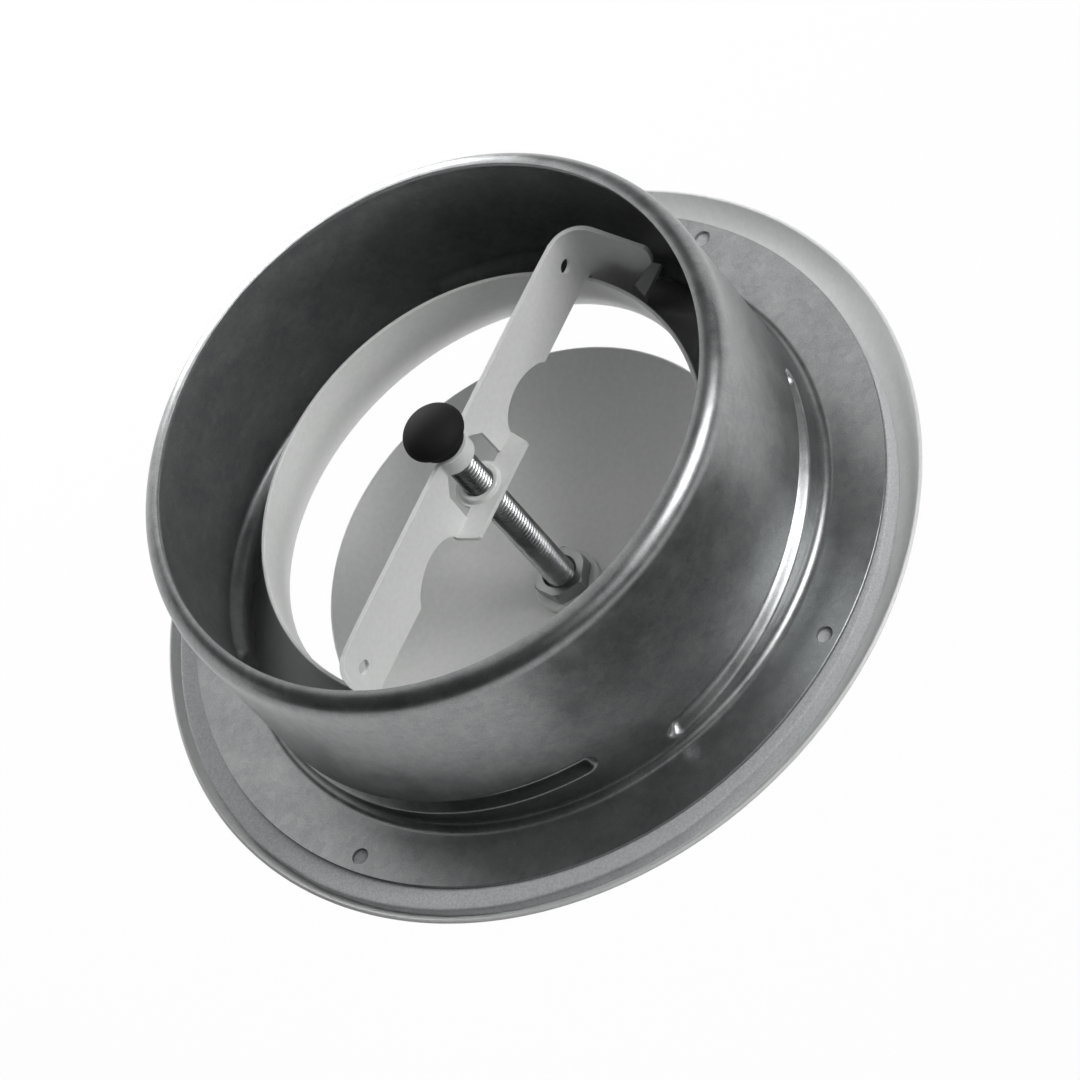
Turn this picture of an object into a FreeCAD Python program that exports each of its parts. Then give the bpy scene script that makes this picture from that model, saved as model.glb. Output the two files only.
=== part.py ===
import FreeCAD, Part
import math
import os

# Extract disc valve with its mounting collar, in millimetres.
# +Z points into the duct. The origin is the centre of the screw circle on the flange's duct side.
# X runs along the bridge. The valve is shown locked in the collar, with its disc part open.

# Driving sizes
ductSize = 125.0
ductGap = 2.0
collarOuterRadius = ductSize / 2 - ductGap
flangeRadius = 73.2
collarTop = 47.0
collarSheet = 0.8
ringRadius = 80.0
neckInset = 14.0
neckRadius = collarOuterRadius - neckInset
ringSheet = 0.8
sheet = 1.0
rodRadius = 3.0
margin = 1.0

# Collar shape
collarInnerRadius = collarOuterRadius - collarSheet
flangeBend = 2.2
lipBend = 4.2
lipRadius = collarOuterRadius - lipBend
holeInset = 3.2
holeCircleRadius = flangeRadius - holeInset
holeRadius = 1.7
holeCount = 4
holeStart = -3.0
beadCount = 4
beadLowAngle = -32.0
beadHighAngle = 45.0
beadLowHeight = 4.0
beadHighHeight = 10.0
beadDepth = 2.3
beadHalfWidth = 2.5
beadTaper = 3.0
beadEndSize = 0.25
beadShoulderWidth = 0.55
beadShoulderDepth = 0.75
beadCrestWidth = 0.22
beadSteps = 7
grooveNarrowing = 0.35
grooveHalfWidth = beadHalfWidth - grooveNarrowing

# Face ring shape
rimReach = 8.5
flareRadius = ringRadius - neckRadius - rimReach
flareX = neckRadius + flareRadius
flareRoom = 2.77
rootX = collarOuterRadius + flangeBend
rootToFlare = flareRadius - flareRoom - flangeBend - collarSheet
flareHeight = flangeBend + math.sqrt(rootToFlare ** 2 - (flareX - rootX) ** 2)
troughHeight = flareHeight - flareRadius
neckStraight = 4.2
neckTop = flareHeight + neckStraight
rimRoom = 0.99
rimRise = ringSheet - troughHeight - collarSheet - rimRoom

# Gasket shape
gasketInset = 4.5
gasketWidth = 12.7
gasketOuterRadius = ringRadius - gasketInset
gasketInnerRadius = gasketOuterRadius - gasketWidth
gasketShiftX = -2.5
gasketShiftY = 0.5
gasketGap = 0.3

# Bridge shape
webHeight = 14.5
webTop = neckTop + webHeight
webMiddle = -0.5
bendRadius = 6.0
lugAngle = 0.0
beadSlope = (beadHighHeight - beadLowHeight) / (beadHighAngle - beadLowAngle)
lugLift = 2.1
lugBottom = beadLowHeight + beadSlope * (lugAngle - beadLowAngle) + lugLift
legRoom = 1.2
flareAtLug = flareX - math.sqrt(flareRadius ** 2 - (flareHeight - lugBottom) ** 2)
legInnerX = flareAtLug + legRoom
legEnd = -17.6
legTopStep = 0.2
legTopFall = 5.2
legChinDrop = 6.4
legCheekDrop = 9.8
legCheekInset = 0.8
legFootRise = 6.2
legFootY = -5.1
bandHeight = 3.8
bandBottom = webTop - bandHeight
rodGap = 0.3
bandRadius = rodRadius + rodGap
threadGap = 0.05
plateDrop = 0.2
plateTop = neckTop - plateDrop
windowHalf = 7.3
windowLean = 0.2
windowHeight = 7.6
windowShoulder = plateTop + windowHeight
tabFoldHalf = 11.8
tabEndHalf = 10.7
tabEnd = -5.6
tongueRadius = 5.1
lipHeight = 0.9
lipWall = 1.3
sideHoleInset = 2.3
sideHoleX = neckRadius - sideHoleInset
sideHoleDrop = 7.0
sideHoleZ = webTop - sideHoleDrop
sideHoleRadius = 1.5
neckGap = 0.5
lugReach = 1.1
lugRoot = 1.6
lugStart = -4.8
lugEnd = 2.2
waistStart = 11.8
waistPeakX = 18.7
waistEnd = 27.2
waistPeak = 4.5
waistSink = 0.1

# Disc and spindle shape
discGap = 0.4
discRadius = neckRadius - ringSheet - discGap
discRimHeight = -2.8
discBandWidth = 3.5
discBandDrop = 1.9
discCentreHeight = -16.2
discSheet = 1.0
bossRadius = 6.7
bossHeight = 1.7
landMargin = 0.7
landRadius = bossRadius + landMargin
nutFlats = 10.0
nutHeight = 3.2
nutTurn = 20.0
nutChamfer = 0.5
nutChamferDrop = 0.35
nutCountersink = 0.6
seatGap = 0.02
boreRadius = rodRadius + seatGap
rodChamfer = 0.8
rodInCap = 5.2
capGap = 1.2
capHeadRadius = 6.25
capHeadHeight = 5.9
capNeckRadius = 4.3
capNeckHeight = 1.5
capBrim = 1.9
capBrimInset = 0.6
capBrimRise = 0.7


def point(x, y, z):
    return FreeCAD.Vector(x, y, z)


def line(a, b):
    return Part.makeLine(point(a[0], 0, a[1]), point(b[0], 0, b[1]))


def onCircle(centre, radius, angle):
    turn = math.radians(angle)
    return (centre[0] + radius * math.cos(turn), centre[1] + radius * math.sin(turn))


def arc(centre, radius, startAngle, endAngle):
    ends = []
    for angle in (startAngle, (startAngle + endAngle) / 2.0, endAngle):
        x, z = onCircle(centre, radius, angle)
        ends.append(point(x, 0, z))
    return Part.Arc(ends[0], ends[1], ends[2]).toShape()


def revolved(edges):
    sortedEdges = Part.__sortEdges__(edges)
    face = Part.Face(Part.Wire(sortedEdges))
    return face.revolve(point(0, 0, 0), point(0, 0, 1), 360)


def revolvedPolygon(corners):
    edges = []
    for index in range(len(corners)):
        edges.append(line(corners[index], corners[(index + 1) % len(corners)]))
    return revolved(edges)


def prism(corners, depth):
    wire = Part.makePolygon(corners + [corners[0]])
    return Part.Face(wire).extrude(depth)


def box(x0, x1, y0, y1, z0, z1):
    return Part.makeBox(x1 - x0, y1 - y0, z1 - z0, point(x0, y0, z0))


def cylinder(radius, z0, z1, x=0.0, y=0.0):
    return Part.makeCylinder(radius, z1 - z0, point(x, y, z0))


def mirrored(shape):
    return shape.mirror(point(0, 0, 0), point(1, 0, 0))


def joined(shapes):
    whole = shapes[0]
    for shape in shapes[1:]:
        whole = whole.fuse(shape)
    return whole.removeSplitter()


# Mounting collar: one pressed sheet with a flange, a straight wall and an inward lip
bendCentre = (rootX, flangeBend)
lipCentre = (lipRadius, collarTop - lipBend)
collar = revolved([
    line((flangeRadius, -collarSheet), (flangeRadius, 0)),
    line((flangeRadius, 0), (bendCentre[0], 0)),
    arc(bendCentre, flangeBend, 270, 180),
    line((collarOuterRadius, flangeBend), (collarOuterRadius, lipCentre[1])),
    arc(lipCentre, lipBend, 0, 90),
    line((lipRadius, collarTop), (lipRadius, collarTop - collarSheet)),
    arc(lipCentre, lipBend - collarSheet, 90, 0),
    line((collarInnerRadius, lipCentre[1]), (collarInnerRadius, flangeBend)),
    arc(bendCentre, flangeBend + collarSheet, 180, 270),
    line((bendCentre[0], -collarSheet), (flangeRadius, -collarSheet)),
])


# Sloping beads pressed inward, a ridge inside and a groove outside
def beadSection(angle, height, rootRadius, depth, halfWidth, size):
    shoulder = (rootRadius - beadShoulderDepth * depth * size, beadShoulderWidth * halfWidth * size)
    crest = (rootRadius - depth * size, beadCrestWidth * halfWidth * size)
    root = (rootRadius, halfWidth * size)
    outline = []
    for radius, lift in (root, shoulder, crest):
        outline.append((radius, -lift))
    for radius, lift in (crest, shoulder, root):
        outline.append((radius, lift))
    turn = math.radians(angle)
    corners = []
    for radius, lift in outline + [outline[0]]:
        corners.append(point(radius * math.cos(turn), radius * math.sin(turn), height + lift))
    return Part.makePolygon(corners)


def bead(startAngle, rootRadius, depth, halfWidth):
    span = beadHighAngle - beadLowAngle
    angles = [0.0]
    for step in range(beadSteps + 1):
        angles.append(beadTaper + (span - 2 * beadTaper) * step / beadSteps)
    angles.append(span)
    sections = []
    for angle in angles:
        height = beadLowHeight + beadSlope * angle
        size = beadEndSize if angle in (0.0, span) else 1.0
        sections.append(beadSection(startAngle + angle, height, rootRadius, depth, halfWidth, size))
    lowEnd = Part.makeLoft(sections[:2], True, True)
    body = Part.makeLoft(sections[1:-1], True, False)
    highEnd = Part.makeLoft(sections[-2:], True, True)
    return [lowEnd, body, highEnd]


rootSink = collarSheet / 2
ridges = []
grooves = []
for index in range(beadCount):
    startAngle = beadLowAngle + 360.0 / beadCount * index
    ridges += bead(startAngle, collarInnerRadius + rootSink, beadDepth + rootSink, beadHalfWidth)
    grooves += bead(startAngle, collarOuterRadius + rootSink, beadDepth + rootSink, grooveHalfWidth)
for ridge in ridges:
    collar = collar.fuse(ridge)
for groove in grooves:
    collar = collar.cut(groove)
for index in range(holeCount):
    holeX, holeY = onCircle((0, 0), holeCircleRadius, holeStart + 360.0 / holeCount * index)
    collar = collar.cut(cylinder(holeRadius, -collarSheet - margin, margin, holeX, holeY))
mountingCollar = collar

# Face ring: a straight neck, a wide flare and a rolled-back rim, one sheet
flareCentre = (flareX, flareHeight)
rimOuter = (rimReach ** 2 + rimRise ** 2) / (2 * rimRise)
rimInner = rimOuter - ringSheet
rimCentre = (flareX, troughHeight + rimInner)
rimAngle = 270 + 2 * math.degrees(math.atan2(rimRise, rimReach))
rimDuctEnd = onCircle(rimCentre, rimInner, rimAngle)
rimRoomEnd = onCircle(rimCentre, rimOuter, rimAngle)
neckInnerRadius = neckRadius - ringSheet
faceRing = revolved([
    line((neckRadius, neckTop), (neckRadius, flareHeight)),
    arc(flareCentre, flareRadius, 180, 270),
    arc(rimCentre, rimInner, 270, rimAngle),
    line(rimDuctEnd, rimRoomEnd),
    arc(rimCentre, rimOuter, rimAngle, 270),
    arc(flareCentre, flareRadius + ringSheet, 270, 180),
    line((neckInnerRadius, flareHeight), (neckInnerRadius, neckTop)),
    line((neckInnerRadius, neckTop), (neckRadius, neckTop)),
])

# Foam gasket: a soft ring laid in the hollow behind the face, a little off centre
hollowTop = flareHeight + margin
hollow = revolved([
    line((neckRadius, flareHeight), (neckRadius, hollowTop)),
    line((neckRadius, hollowTop), (ringRadius, hollowTop)),
    line((ringRadius, hollowTop), rimDuctEnd),
    arc(rimCentre, rimInner, rimAngle, 270),
    arc(flareCentre, flareRadius, 270, 180),
])
gasketTop = -collarSheet - gasketGap
gasket = cylinder(gasketOuterRadius, troughHeight, gasketTop, gasketShiftX, gasketShiftY)
gasketBore = cylinder(gasketInnerRadius, troughHeight - margin, gasketTop + margin, gasketShiftX, gasketShiftY)
foamGasket = gasket.cut(gasketBore).common(hollow)

# Bridge: one strip standing on edge, with a wall across the neck and a leg bent round at each end
webFront = webMiddle - sheet / 2
webBack = webMiddle + sheet / 2
legOuterX = legInnerX + sheet
bendX = legInnerX + sheet / 2 - bendRadius
bendY = webMiddle - bendRadius
wall = box(-bendX, bendX, webFront, webBack, lugBottom, webTop)
leg = box(legInnerX, legOuterX, legEnd, bendY, lugBottom, webTop)
bendOuter = cylinder(bendRadius + sheet / 2, lugBottom, webTop, bendX, bendY)
bendInner = cylinder(bendRadius - sheet / 2, lugBottom, webTop, bendX, bendY)
quarter = box(bendX, legOuterX + margin, bendY, webBack + margin, lugBottom, webTop)
side = bendOuter.cut(bendInner).common(quarter).fuse(leg)

# The leg's top edge falls away from the bend, and its lower edge is cut off at a slant
sideDepth = point(legOuterX + margin - bendX, 0, 0)
legTopStart = webTop - legTopStep
wingTop = prism([
    point(bendX, webBack, legTopStart),
    point(bendX, webBack, webTop + margin),
    point(bendX, legEnd - margin, webTop + margin),
    point(bendX, legEnd - margin, legTopStart - legTopFall),
], sideDepth)
wingUnder = prism([
    point(bendX, legFootY, lugBottom - margin),
    point(bendX, legFootY, lugBottom + legFootRise),
    point(bendX, legEnd + legCheekInset, webTop - legCheekDrop),
    point(bendX, legEnd, webTop - legChinDrop),
    point(bendX, legEnd - margin, webTop - legChinDrop),
    point(bendX, legEnd - margin, lugBottom - margin),
], sideDepth)
side = side.cut(wingTop).cut(wingUnder)

# Room for the neck, which the wall stands on and the legs reach round
spaceRadius = flareRadius - neckGap
spaceEnd = onCircle(flareCentre, spaceRadius, 225)
neckSpace = revolved([
    line((0, spaceEnd[1]), (0, neckTop)),
    line((0, neckTop), (neckRadius + neckGap, neckTop)),
    line((neckRadius + neckGap, neckTop), (neckRadius + neckGap, flareHeight)),
    arc(flareCentre, spaceRadius, 180, 225),
    line(spaceEnd, (0, spaceEnd[1])),
])

# Lugs at the feet of the legs, which slide along the duct side of the collar's beads
lugRadius = collarInnerRadius - lugReach
lug = cylinder(lugRadius, lugBottom, lugBottom + sheet)
lug = lug.common(box(legInnerX - lugRoot, lugRadius + margin, lugStart, lugEnd, lugBottom, lugBottom + sheet))
side = side.fuse(lug).cut(neckSpace)
wall = wall.cut(neckSpace)

# A waist on each side of the spindle, a window between tab and band, and a small hole near each end
waistBottom = neckTop - waistSink
waistShoulder = waistBottom + waistPeak * 0.66
waistPoints = [
    (waistStart, waistBottom), (waistStart + 2.0, waistShoulder), (waistPeakX, waistBottom + waistPeak),
    (waistEnd - 3.2, waistShoulder), (waistEnd, waistBottom)]
waist = Part.BSplineCurve()
waist.interpolate([point(x, webFront - margin, z) for x, z in waistPoints])
waistChord = Part.makeLine(waist.EndPoint, waist.StartPoint)
cutDepth = point(0, sheet + 2 * margin, 0)
waistCut = Part.Face(Part.Wire([waist.toShape(), waistChord])).extrude(cutDepth)
bandHalf = math.sqrt((bandRadius + sheet) ** 2 - webFront ** 2)
windowHalfOutline = [
    (windowHalf, plateTop), (windowHalf - windowLean, windowShoulder), (bandHalf, bandBottom)]
windowOutline = []
for x, z in windowHalfOutline:
    windowOutline.append(point(x, webFront - margin, z))
for x, z in reversed(windowHalfOutline):
    windowOutline.append(point(-x, webFront - margin, z))
window = prism(windowOutline, cutDepth)
sideHoleStart = point(sideHoleX, webFront - margin, sideHoleZ)
sideHole = Part.makeCylinder(sideHoleRadius, sheet + 2 * margin, sideHoleStart, point(0, 1, 0))
wall = wall.cut(window).cut(waistCut).cut(mirrored(waistCut))
wall = wall.cut(sideHole).cut(mirrored(sideHole))
side = side.cut(sideHole)

# A band bulged round the spindle at the top, and below it a folded tab with a tapped tongue
bandReach = bandRadius + sheet + margin
band = cylinder(bandRadius + sheet, bandBottom, webTop)
band = band.common(box(-bandReach, bandReach, -bandReach, webMiddle, bandBottom, webTop))
plateBottom = plateTop - sheet
tab = prism([
    point(-tabFoldHalf, webBack, plateBottom),
    point(-tabFoldHalf, webFront, plateBottom),
    point(-tabEndHalf, tabEnd, plateBottom),
    point(tabEndHalf, tabEnd, plateBottom),
    point(tabFoldHalf, webFront, plateBottom),
    point(tabFoldHalf, webBack, plateBottom),
], point(0, 0, sheet))
tabNotch = box(-windowHalf, windowHalf, webMiddle, webBack + margin, plateBottom - margin, plateTop + margin)
fold = box(-tabFoldHalf, tabFoldHalf, webFront, webBack, plateBottom, neckTop + waistSink)
foldGap = box(-windowHalf, windowHalf, webFront - margin, webBack + margin, plateTop, neckTop + margin)
tongue = cylinder(tongueRadius, plateBottom, plateTop)
tongueRoot = box(-tongueRadius, tongueRadius, tabEnd, 0, plateBottom, plateTop)
rodLip = cylinder(rodRadius + lipWall, plateTop, plateTop + lipHeight)
plate = joined([tab.cut(tabNotch), tongue, tongueRoot, rodLip])
bridge = joined([wall, side, mirrored(side), band, fold.cut(foldGap), plate])
bridge = bridge.cut(cylinder(bandRadius, bandBottom - margin, webTop + margin))
bridge = bridge.cut(cylinder(rodRadius + threadGap, plateBottom - margin, plateTop + lipHeight + margin))

# Valve disc: a dished sheet hollow toward the duct, with a flat middle and a rim band
bandInner = discRadius - discBandWidth
bandInnerHeight = discRimHeight - discBandDrop
dishRise = bandInnerHeight - discCentreHeight
dishSpan = bandInner ** 2 - landRadius ** 2
dishMiddle = (dishSpan + dishRise ** 2) / (2 * dishRise)
dishRadius = math.hypot(landRadius, dishMiddle)
dishCentre = (0.0, discCentreHeight + dishMiddle)
landAngle = 270 + math.degrees(math.asin(landRadius / dishRadius))
bandAngle = 270 + math.degrees(math.asin(bandInner / dishRadius))
lowerRadius = dishRadius + discSheet
bandStart = onCircle(dishCentre, lowerRadius, bandAngle)
landStart = onCircle(dishCentre, lowerRadius, landAngle)
rimLower = (discRadius, discRimHeight - discSheet)
valveDisc = revolved([
    line((0, discCentreHeight), (landRadius, discCentreHeight)),
    arc(dishCentre, dishRadius, landAngle, bandAngle),
    line((bandInner, bandInnerHeight), (discRadius, discRimHeight)),
    line((discRadius, discRimHeight), rimLower),
    line(rimLower, bandStart),
    arc(dishCentre, lowerRadius, bandAngle, landAngle),
    line(landStart, (0, landStart[1])),
    line((0, landStart[1]), (0, discCentreHeight)),
])

# Boss and lock nut on the disc
bossTop = discCentreHeight + bossHeight
discBoss = cylinder(bossRadius, discCentreHeight, bossTop)
discBoss = discBoss.cut(cylinder(boreRadius, discCentreHeight - margin, bossTop + margin))
nutTop = bossTop + nutHeight
nutCorner = nutFlats / math.sqrt(3.0)
nutOutline = []
for index in range(6):
    cornerX, cornerY = onCircle((0, 0), nutCorner, 60.0 * index + nutTurn)
    nutOutline.append(point(cornerX, cornerY, bossTop))
nut = prism(nutOutline, point(0, 0, nutHeight))
nutChamferRadius = nutCorner - nutChamfer
nutRound = revolvedPolygon([
    (0, bossTop), (nutChamferRadius, bossTop), (nutCorner, bossTop + nutChamferDrop),
    (nutCorner, nutTop - nutChamferDrop), (nutChamferRadius, nutTop), (0, nutTop)])
countersinkStart = point(0, 0, nutTop - nutCountersink)
countersink = Part.makeCone(boreRadius, boreRadius + nutCountersink, nutCountersink, countersinkStart)
nutBore = cylinder(boreRadius, bossTop - margin, nutTop + margin)
lockNut = nut.common(nutRound).cut(nutBore).cut(countersink)

# Spindle, with a chamfer at its upper end
capBottom = webTop + capGap
rodTop = capBottom + rodInCap
spindle = revolvedPolygon([
    (0, discCentreHeight), (rodRadius, discCentreHeight), (rodRadius, rodTop - rodChamfer),
    (rodRadius - rodChamfer, rodTop), (0, rodTop)])

# End cap: a blind bore in a neck, under a domed head
headBottom = capBottom + capNeckHeight
capTop = headBottom + capHeadHeight
domeBottom = headBottom + capBrim
ellipse = Part.Ellipse(point(capHeadRadius, 0, domeBottom), point(0, 0, capTop), point(0, 0, domeBottom))
dome = Part.ArcOfEllipse(ellipse, 0, math.pi / 2).toBSpline()
endCap = revolved([
    line((0, capTop), (0, rodTop + seatGap)),
    line((0, rodTop + seatGap), (boreRadius, rodTop + seatGap)),
    line((boreRadius, rodTop + seatGap), (boreRadius, capBottom)),
    line((boreRadius, capBottom), (capNeckRadius, capBottom)),
    line((capNeckRadius, capBottom), (capNeckRadius, headBottom)),
    line((capNeckRadius, headBottom), (capHeadRadius - capBrimInset, headBottom + capBrimRise)),
    line((capHeadRadius - capBrimInset, headBottom + capBrimRise), (capHeadRadius, domeBottom)),
    dome.toShape(),
])

pieces = {
    "mounting_collar": mountingCollar,
    "face_ring": faceRing,
    "foam_gasket": foamGasket,
    "bridge": bridge,
    "spindle": spindle,
    "lock_nut": lockNut,
    "disc_boss": discBoss,
    "valve_disc": valveDisc,
    "end_cap": endCap,
}
os.makedirs("parts", exist_ok=True)
for name, shape in pieces.items():
    shape.exportStep("parts/" + name + ".step")
    size = shape.BoundBox
    print(name, shape.isValid(), len(shape.Solids), len(shape.Faces), round(shape.Volume, 1), size)
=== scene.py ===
import bpy
import bmesh
import math
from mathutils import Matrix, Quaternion, Vector, noise


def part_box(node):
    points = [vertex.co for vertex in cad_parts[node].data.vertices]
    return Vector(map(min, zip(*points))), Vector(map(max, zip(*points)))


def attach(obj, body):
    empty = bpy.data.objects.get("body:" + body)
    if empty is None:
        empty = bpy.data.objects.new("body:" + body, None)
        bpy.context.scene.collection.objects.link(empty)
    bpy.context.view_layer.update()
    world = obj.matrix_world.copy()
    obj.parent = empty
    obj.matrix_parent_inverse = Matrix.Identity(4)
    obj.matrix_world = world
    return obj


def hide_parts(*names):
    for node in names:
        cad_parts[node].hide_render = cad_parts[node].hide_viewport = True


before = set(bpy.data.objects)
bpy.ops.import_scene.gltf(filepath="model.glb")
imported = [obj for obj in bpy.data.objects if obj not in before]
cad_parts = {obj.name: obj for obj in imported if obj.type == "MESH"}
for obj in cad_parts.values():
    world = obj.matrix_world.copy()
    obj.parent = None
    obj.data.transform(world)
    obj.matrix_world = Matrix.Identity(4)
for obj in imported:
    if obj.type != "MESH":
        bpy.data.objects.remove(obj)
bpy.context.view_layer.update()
print("frame loaded")

mm = 0.001


def topOf(node, axis):
    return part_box(node)[1][axis] / mm


def bottomOf(node, axis):
    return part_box(node)[0][axis] / mm


# A sheet's end stands out by this share of half its thickness
endReach = 0.6


# Helpers for shapes, all sizes in millimetres
def roundPoint(radius, angle, height):
    # point at a radius and an angle round Z, in metres
    return (radius * math.cos(angle) * mm, radius * math.sin(angle) * mm, height * mm)


def mirrored(points):
    return [(-across, other) for across, other in points]


def linePoints(start, end, steps):
    points = []
    for step in range(1, steps + 1):
        share = step / steps
        points.append((
            start[0] + (end[0] - start[0]) * share,
            start[1] + (end[1] - start[1]) * share))
    return points


def arcPoints(centre, radius, startAngle, endAngle, steps):
    points = []
    for step in range(1, steps + 1):
        turn = math.radians(startAngle + (endAngle - startAngle) * step / steps)
        points.append((centre[0] + radius * math.cos(turn), centre[1] + radius * math.sin(turn)))
    return points


def sheetLoop(middle, thickness, cutEdge=None):
    # closed outline of a sheet that follows a middle line, with round ends, or cut ends with a small bevel
    normals = []
    for index in range(len(middle)):
        before = middle[max(index - 1, 0)]
        after = middle[min(index + 1, len(middle) - 1)]
        along = Vector((after[0] - before[0], after[1] - before[1])).normalized()
        normals.append(Vector((-along.y, along.x)))
    half = thickness / 2
    left = [(p[0] + n.x * half, p[1] + n.y * half) for p, n in zip(middle, normals)]
    right = [(p[0] - n.x * half, p[1] - n.y * half) for p, n in zip(middle, normals)]

    def sheetEnd(centre, normal):
        along = Vector((normal.y, -normal.x))
        reach = half * endReach
        if cutEdge is None:
            turns = (math.pi / 4, math.pi / 2, 3 * math.pi / 4)
            corners = [(math.cos(turn), math.sin(turn)) for turn in turns]
        else:
            low, high = 1 - cutEdge / half, 1 - cutEdge / reach
            corners = [(1, high), (low, 1), (-low, 1), (-1, high)]
        spots = [normal * side * half + along * out * reach for side, out in corners]
        return [(centre[0] + spot.x, centre[1] + spot.y) for spot in spots]

    return left + sheetEnd(middle[-1], normals[-1]) + right[::-1] + sheetEnd(middle[0], -normals[0])


def gridFaces(columns, rows, closedRound, closedAcross):
    # faces of a grid whose vertices are listed column by column
    faces = []
    for column in range(columns if closedRound else columns - 1):
        nextColumn = (column + 1) % columns
        for row in range(rows if closedAcross else rows - 1):
            nextRow = (row + 1) % rows
            faces.append((
                column * rows + row, nextColumn * rows + row,
                nextColumn * rows + nextRow, column * rows + nextRow))
    return faces


def addPiece(name, mesh):
    piece = bpy.data.objects.new(name, mesh)
    bpy.context.scene.collection.objects.link(piece)
    return piece


def gridPiece(name, vertices, columns, closedRound=True, closedAcross=True):
    rows = len(vertices) // columns
    mesh = bpy.data.meshes.new(name)
    mesh.from_pydata(vertices, [], gridFaces(columns, rows, closedRound, closedAcross))
    return addPiece(name, mesh)


def turnedPiece(name, profile, segments, closed=True):
    # spins a profile of (radius, height) points round Z
    vertices = []
    for segment in range(segments):
        angle = 2 * math.pi * segment / segments
        for radius, height in profile:
            vertices.append(roundPoint(radius, angle, height))
    return gridPiece(name, vertices, segments, True, closed)


def cleanMesh(piece, sharpAngle=32.0, merge=0.002, fillHoles=False):
    # joins points that meet, turns the faces outward and shades them smooth up to an angle in degrees
    work = bmesh.new()
    work.from_mesh(piece.data)
    bmesh.ops.remove_doubles(work, verts=work.verts, dist=merge * mm)
    bmesh.ops.dissolve_degenerate(work, edges=work.edges, dist=merge * mm / 2)
    if fillHoles:
        bmesh.ops.holes_fill(work, edges=[edge for edge in work.edges if edge.is_boundary], sides=0)
    bmesh.ops.recalc_face_normals(work, faces=work.faces)
    work.to_mesh(piece.data)
    work.free()
    piece.data.shade_smooth()
    piece.data.set_sharp_from_angle(angle=math.radians(sharpAngle))


def flatBlank(name, outline, holes, thickness, edgeRound):
    # a sheet cut to an outline in its own plane, with slightly rounded edges
    curve = bpy.data.curves.new(name, "CURVE")
    curve.dimensions = "2D"
    curve.fill_mode = "BOTH"
    curve.extrude = (thickness / 2 - edgeRound) * mm
    curve.bevel_depth = edgeRound * mm
    curve.bevel_resolution = 1
    curve.offset = -edgeRound * mm
    for loop in [outline] + holes:
        spline = curve.splines.new("POLY")
        spline.points.add(len(loop) - 1)
        for corner, spot in zip(spline.points, loop):
            corner.co = (spot[0] * mm, spot[1] * mm, 0, 1)
        spline.use_cyclic_u = True
    source = bpy.data.objects.new(name + "Curve", curve)
    bpy.context.scene.collection.objects.link(source)
    bpy.context.view_layer.update()
    mesh = bpy.data.meshes.new_from_object(source.evaluated_get(bpy.context.evaluated_depsgraph_get()))
    bpy.data.objects.remove(source)
    mesh.name = name
    return mesh


def joinPieces(name, pieces):
    work = bmesh.new()
    for piece in pieces:
        work.from_mesh(piece.data)
    mesh = bpy.data.meshes.new(name)
    work.to_mesh(mesh)
    work.free()
    for piece in pieces:
        bpy.data.objects.remove(piece)
    return addPiece(name, mesh)


# Helpers for materials
def toLinear(hexColour):
    channels = []
    for start in (1, 3, 5):
        value = int(hexColour[start:start + 2], 16) / 255
        channels.append(value / 12.92 if value <= 0.04045 else ((value + 0.055) / 1.055) ** 2.4)
    return (*channels, 1.0)


def addNode(tree, kind, inputs=None, **settings):
    node = tree.nodes.new(kind)
    for key, value in settings.items():
        setattr(node, key, value)
    for key, value in (inputs or {}).items():
        if isinstance(value, bpy.types.NodeSocket):
            tree.links.new(value, node.inputs[key])
        else:
            node.inputs[key].default_value = value
    return node


def emptyTree(owner):
    owner.use_nodes = True
    owner.node_tree.nodes.clear()
    return owner.node_tree


def newMaterial(name, **shaderValues):
    material = bpy.data.materials.new(name)
    tree = emptyTree(material)
    shader = addNode(tree, "ShaderNodeBsdfPrincipled", shaderValues)
    addNode(tree, "ShaderNodeOutputMaterial", {"Surface": shader.outputs["BSDF"]})
    place = addNode(tree, "ShaderNodeTexCoord")
    return material, tree, shader, place.outputs["Object"]


def setRamp(node, stops):
    ramp = node.color_ramp
    while len(ramp.elements) < len(stops):
        ramp.elements.new(0.5)
    for element, (spot, colour) in zip(ramp.elements, stops):
        element.position = spot
        element.color = toLinear(colour)
    return node.outputs["Color"]


def colourBy(tree, shader, value, spread, first, last):
    # turns the surface from one colour to another while a value climbs through its spread
    tone = addNode(tree, "ShaderNodeValToRGB", {"Fac": value})
    colour = setRamp(tone, [(spread[0], first), (spread[1], last)])
    tree.links.new(colour, shader.inputs["Base Color"])


def roughenBy(tree, shader, value, spread, roughness):
    rough = addNode(tree, "ShaderNodeMapRange", {
        "Value": value, "From Min": spread[0], "From Max": spread[1],
        "To Min": roughness[0], "To Max": roughness[1]})
    tree.links.new(rough.outputs["Result"], shader.inputs["Roughness"])


def bumpBy(tree, shader, value, strength, height, invert=False):
    bump = addNode(tree, "ShaderNodeBump", {
        "Height": value, "Strength": strength, "Distance": height * mm}, invert=invert)
    tree.links.new(bump.outputs["Normal"], shader.inputs["Normal"])


# Galvanised sheet, dipped in zinc and skin-passed: a dulled grey metal with cloudy patches and fine grain
galvanised = {
    "dark": "#888A8B", "light": "#A8AAAA", "spread": (0.36, 0.76), "metal": 0.86, "roughness": (0.30, 0.36),
    "cloud": 7.0, "cloudShare": 0.5, "cloudSpread": (0.35, 0.65), "spangle": 1.4, "spangleShare": 0.12,
    "grain": 0.32, "grainShare": 0.5, "grainHeight": 0.005, "grainStrength": 0.35}


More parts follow.
